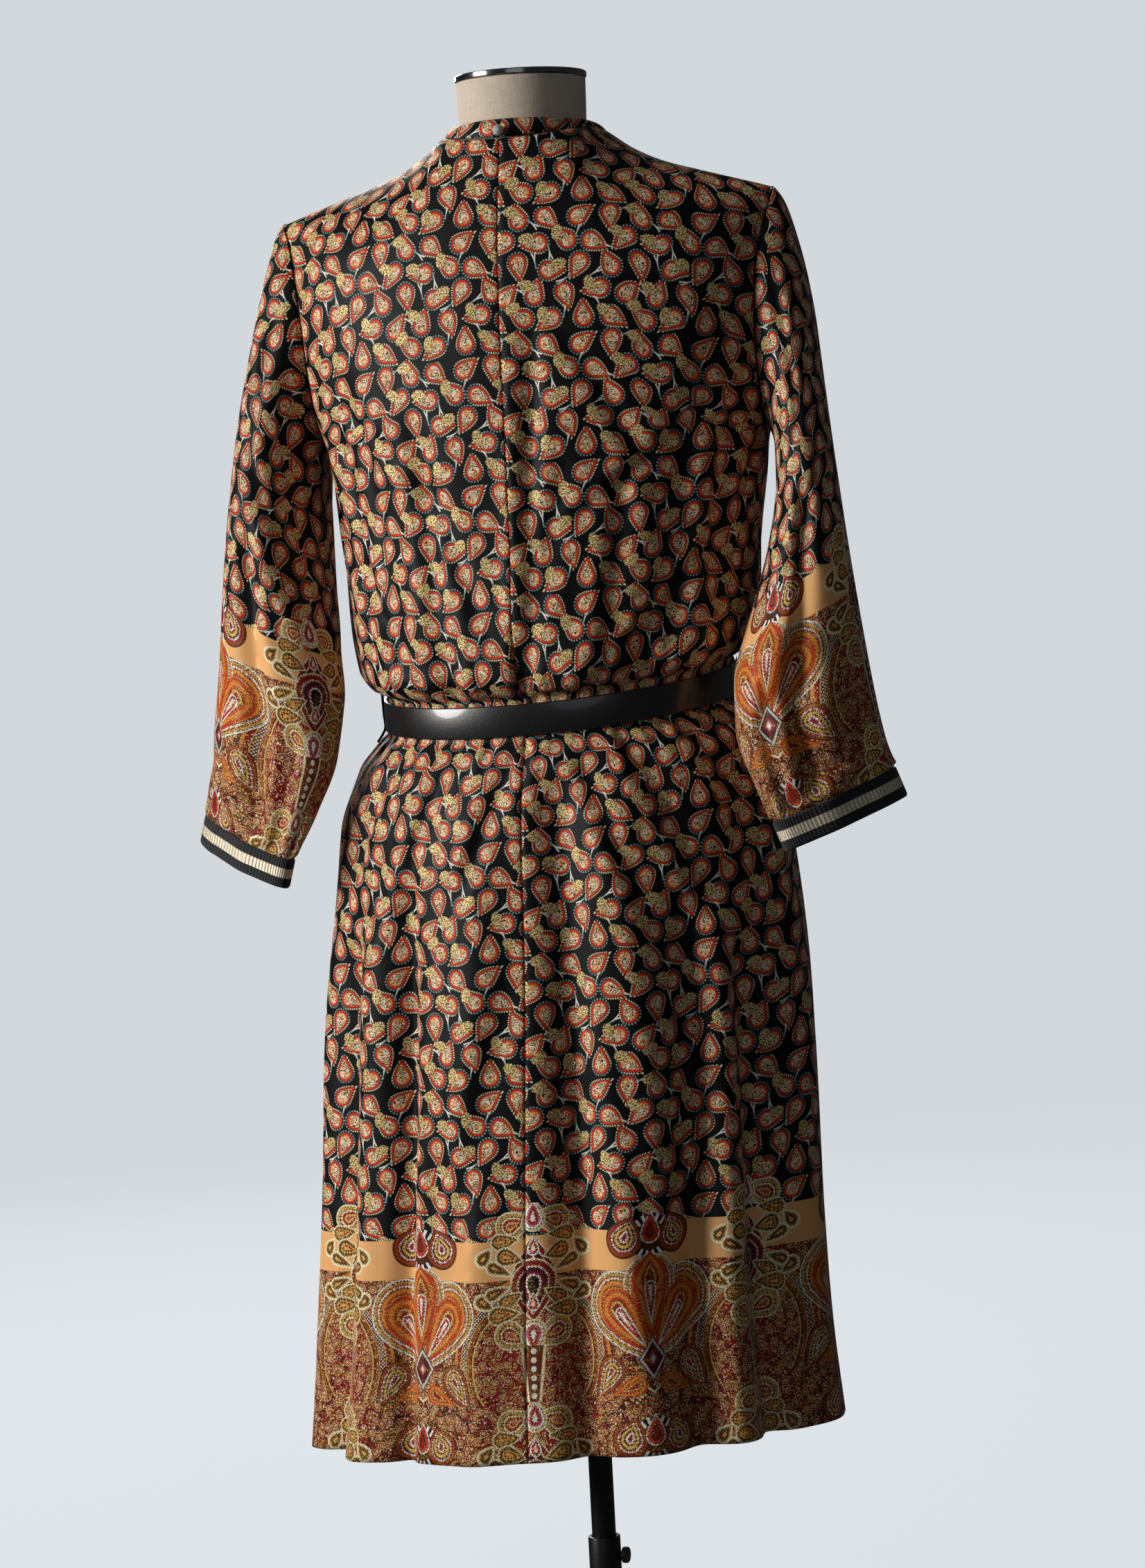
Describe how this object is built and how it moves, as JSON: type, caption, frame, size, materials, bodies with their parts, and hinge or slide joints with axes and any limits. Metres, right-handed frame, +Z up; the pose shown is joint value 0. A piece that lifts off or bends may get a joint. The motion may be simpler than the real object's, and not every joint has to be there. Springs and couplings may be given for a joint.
{
  "type": "midi dress on a dress form",
  "caption": "Belted midi dress with three-quarter sleeves, rib cuffs and a border print, standing on a limbless dress form with a pole stand.",
  "frame": {"origin": "centre of the base plate's underside, on the pole's axis", "axes": "+Z up along the pole, -Y the way the dress faces, +X the wearer's left"},
  "size_m": [0.5966, 0.3014, 1.5411],
  "materials": {
    "print_cloth": "printed viscose satin, black ground with paisley leaves and gold foil dots",
    "rib_knit": "rib knit, black with a gold stripe",
    "thread": "black thread cord",
    "belt_leather": "glossy black leather",
    "silver": "polished",
    "linen": "woven linen cover",
    "dark_chrome": "dark polished",
    "black_metal": "satin black powder coat"
  },
  "bodies": {
    "stand": {"base_plate": "black_metal", "pole_tube": "black_metal", "pole_collar": "black_metal"},
    "screw": {"clamp_screw": "black_metal"},
    "figure": {"pole_rod": "black_metal", "pole_socket": "black_metal", "form_torso": "linen", "form_neck": "linen", "neck_cap": "dark_chrome", "back_left": "print_cloth", "back_right": "print_cloth", "front": "print_cloth", "neckband": "print_cloth", "nape_button": "silver", "sleeve_left": "print_cloth", "sleeve_right": "print_cloth", "cuff_left": "rib_knit", "cuff_right": "rib_knit", "belt_strap": "belt_leather", "belt_keeper": "belt_leather", "belt_loop_left": "thread", "belt_loop_right": "thread", "buckle_frame": "black_metal", "buckle_prong": "black_metal"}
  },
  "joints": [
    {"name": "height", "type": "slide", "parent": "stand", "child": "figure", "axis": [0, 0, 1], "range_m": [-0.11, 0.12]},
    {"name": "clamp_turn", "type": "hinge", "parent": "stand", "child": "screw", "pos_m": [-0.0135, 0, 0.336], "axis": [1, 0, 0], "range_deg": [-180, 180]}
  ]
}
